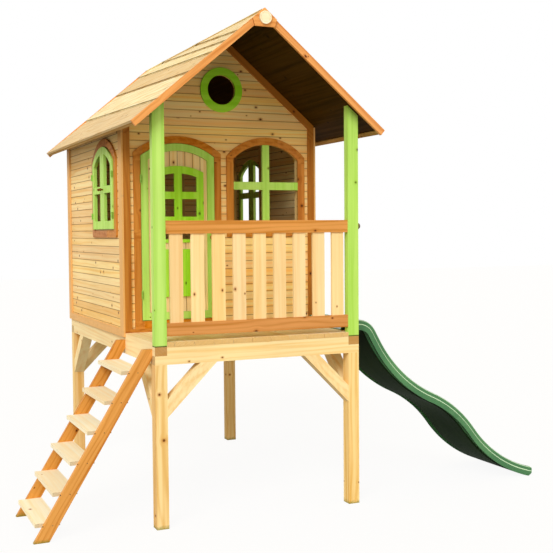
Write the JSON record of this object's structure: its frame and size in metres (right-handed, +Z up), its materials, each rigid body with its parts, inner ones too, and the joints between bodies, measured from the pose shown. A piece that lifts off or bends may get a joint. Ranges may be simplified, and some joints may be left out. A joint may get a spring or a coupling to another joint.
{
  "type": "playhouse on stilts with ladder and slide",
  "caption": "Wooden playhouse on legs with a railed porch, arched door and windows, board roof, a leaning ladder at one side and a wavy slide at the other.",
  "frame": {"origin": "middle of the whole footprint on the ground, under the ridge plates, ladder foot and slide foot", "axes": "+X runs from the ladder towards the slide, +Y from the porch front to the back wall, +Z up"},
  "size_m": [3.3244, 2.317, 2.908],
  "materials": {
    "pine": "planed, lightly stained pine",
    "pale_pine": "pale planed pine",
    "siding": "honey-coloured satin stain",
    "brown_stain": "orange-brown satin stain",
    "barge_stain": "red-orange satin stain",
    "green_stain": "lime-green opaque satin stain",
    "roof_wood": "weathered pale boards",
    "roof_dark": "dark brown stain",
    "slide_plastic": "semi-gloss moulded plastic",
    "steel": "galvanised",
    "cap_plastic": "moulded cap"
  },
  "bodies": {
    "house": {"leg_front_left": "pine", "leg_front_right": "pine", "leg_back_left": "pine", "leg_back_right": "pine", "beam_front": "pine", "beam_back": "pine", "beam_left": "pine", "beam_right": "pine", "deck_joists": "pine", "knee_braces": "pine", "wall_studs": "pine", "deck_boards": "pale_pine", "railing_slats": "pale_pine", "ladder_treads": "pale_pine", "ladder_cleats": "pale_pine", "ridge_disc": "pale_pine", "porch_posts": "green_stain", "round_window_ring": "green_stain", "front_window_bars": "green_stain", "railing_rails": "brown_stain", "wall_trims": "brown_stain", "door_casing": "brown_stain", "front_window_casing": "brown_stain", "side_window_casings": "brown_stain", "ladder_stringers": "brown_stain", "cladding_front": "siding", "cladding_back": "siding", "cladding_left": "siding", "cladding_right": "siding", "cladding_front_notched": "siding", "barge_boards": "barge_stain", "ridge_plates": "barge_stain", "roof_boards_left": "roof_wood", "roof_boards_right": "roof_wood", "roof_panels": "roof_dark", "eave_battens": "roof_dark", "slide_chute": "slide_plastic", "slide_screws": "steel", "door_hinge_flaps_fixed": "steel", "window_hinge_flaps_fixed": "steel", "rail_bolts": "cap_plastic"},
    "door": {"door_hinge_flaps_moving": "steel", "door_boards": "siding", "door_border": "green_stain", "door_window_frame": "green_stain", "door_panels": "green_stain", "door_knob": "pale_pine"},
    "window_left_front": {"leaf_left_front": "green_stain", "leaf_knob_left_front": "brown_stain", "leaf_hinges_left_front": "steel"},
    "window_left_back": {"leaf_left_back": "green_stain", "leaf_knob_left_back": "brown_stain", "leaf_hinges_left_back": "steel"},
    "window_right_front": {"leaf_right_front": "green_stain", "leaf_knob_right_front": "brown_stain", "leaf_hinges_right_front": "steel"},
    "window_right_back": {"leaf_right_back": "green_stain", "leaf_knob_right_back": "brown_stain", "leaf_hinges_right_back": "steel"}
  },
  "joints": [
    {"name": "door_hinge", "type": "hinge", "parent": "house", "child": "door", "pos_m": [-0.88724, -0.469, 1.117], "axis": [0, 0, -1], "range_deg": [0, 120]},
    {"name": "left_front_hinge", "type": "hinge", "parent": "house", "child": "window_left_front", "pos_m": [-1.02024, -0.278, 1.677], "axis": [0, 0, 1], "range_deg": [0, 120]},
    {"name": "left_back_hinge", "type": "hinge", "parent": "house", "child": "window_left_back", "pos_m": [-1.02024, 0.225, 1.677], "axis": [0, 0, -1], "range_deg": [0, 120]},
    {"name": "right_back_hinge", "type": "hinge", "parent": "house", "child": "window_right_back", "pos_m": [0.30976, 0.85, 1.677], "axis": [0, 0, 1], "range_deg": [0, 120]},
    {"name": "right_front_hinge", "type": "hinge", "parent": "house", "child": "window_right_front", "pos_m": [0.30976, 0.347, 1.677], "axis": [0, 0, -1], "range_deg": [0, 120]}
  ]
}
